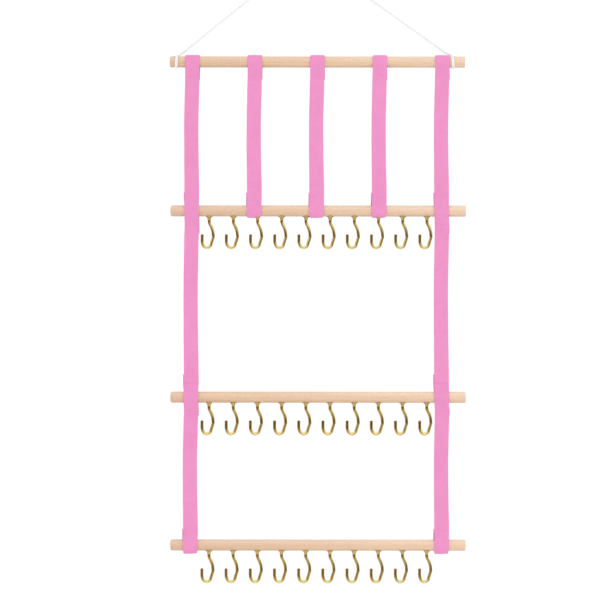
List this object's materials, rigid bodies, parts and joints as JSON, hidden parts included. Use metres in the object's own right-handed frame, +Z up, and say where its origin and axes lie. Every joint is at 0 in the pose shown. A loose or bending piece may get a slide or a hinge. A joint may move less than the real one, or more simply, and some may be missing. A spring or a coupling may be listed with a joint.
{
  "type": "wall-hanging accessory organiser",
  "caption": "Wall-hanging accessory organiser: round wooden rails on felt straps, each lower rail with a row of brass question-mark hooks, hung from a cord.",
  "frame": {"origin": "underside of the cord's top bend, where it rests on the nail", "axes": "+Z up, +X along the rails to the right, -Y towards the viewer, +Y towards the wall"},
  "size_m": [0.4012, 0.0192, 0.8531],
  "materials": {
    "beech": "sanded, thin matt lacquer",
    "felt": "pressed felt",
    "thread": "sewing thread",
    "brass": "polished, lacquered",
    "cord": "twisted cotton"
  },
  "bodies": {
    "hanging_set": {"hanging_cord": "cord", "left_cord_tie": "cord", "right_cord_tie": "cord", "top_rail": "beech"},
    "upper_tier": {"left_strap_upper": "felt", "right_strap_upper": "felt", "inner_left_strap": "felt", "centre_strap": "felt", "inner_right_strap": "felt", "left_upper_sleeve_patch": "felt", "right_upper_sleeve_patch": "felt", "upper_stitching": "thread", "upper_hook_rail": "beech", "upper_hook_01": "brass", "upper_hook_02": "brass", "upper_hook_03": "brass", "upper_hook_04": "brass", "upper_hook_05": "brass", "upper_hook_06": "brass", "upper_hook_07": "brass", "upper_hook_08": "brass", "upper_hook_09": "brass", "upper_hook_10": "brass"},
    "middle_tier": {"left_strap_middle": "felt", "right_strap_middle": "felt", "left_middle_sleeve_patch": "felt", "right_middle_sleeve_patch": "felt", "middle_stitching": "thread"},
    "middle_rail": {"middle_hook_rail": "beech", "middle_hook_01": "brass", "middle_hook_02": "brass", "middle_hook_03": "brass", "middle_hook_04": "brass", "middle_hook_05": "brass", "middle_hook_06": "brass", "middle_hook_07": "brass", "middle_hook_08": "brass", "middle_hook_09": "brass", "middle_hook_10": "brass"},
    "lower_tier": {"left_strap_lower": "felt", "right_strap_lower": "felt", "lower_stitching": "thread"},
    "bottom_rail": {"bottom_hook_rail": "beech", "bottom_hook_01": "brass", "bottom_hook_02": "brass", "bottom_hook_03": "brass", "bottom_hook_04": "brass", "bottom_hook_05": "brass", "bottom_hook_06": "brass", "bottom_hook_07": "brass", "bottom_hook_08": "brass", "bottom_hook_09": "brass", "bottom_hook_10": "brass"}
  },
  "joints": [
    {"name": "upper_tier_swing", "type": "hinge", "parent": "hanging_set", "child": "upper_tier", "pos_m": [0.016, 0, -0.144], "axis": [-1, 0, 0], "range_deg": [-90, 90]},
    {"name": "middle_tier_swing", "type": "hinge", "parent": "upper_tier", "child": "middle_tier", "pos_m": [0.016, -0.001, -0.38], "axis": [-1, 0, 0], "range_deg": [-90, 90]},
    {"name": "middle_rail_roll", "type": "hinge", "parent": "middle_tier", "child": "middle_rail", "pos_m": [0.016, 0, -0.5985], "axis": [-1, 0, 0], "continuous": true},
    {"name": "lower_tier_swing", "type": "hinge", "parent": "middle_tier", "child": "lower_tier", "pos_m": [0.016, -0.001, -0.6265], "axis": [-1, 0, 0], "range_deg": [-90, 90]},
    {"name": "bottom_rail_roll", "type": "hinge", "parent": "lower_tier", "child": "bottom_rail", "pos_m": [0.016, 0, -0.799], "axis": [-1, 0, 0], "continuous": true}
  ]
}
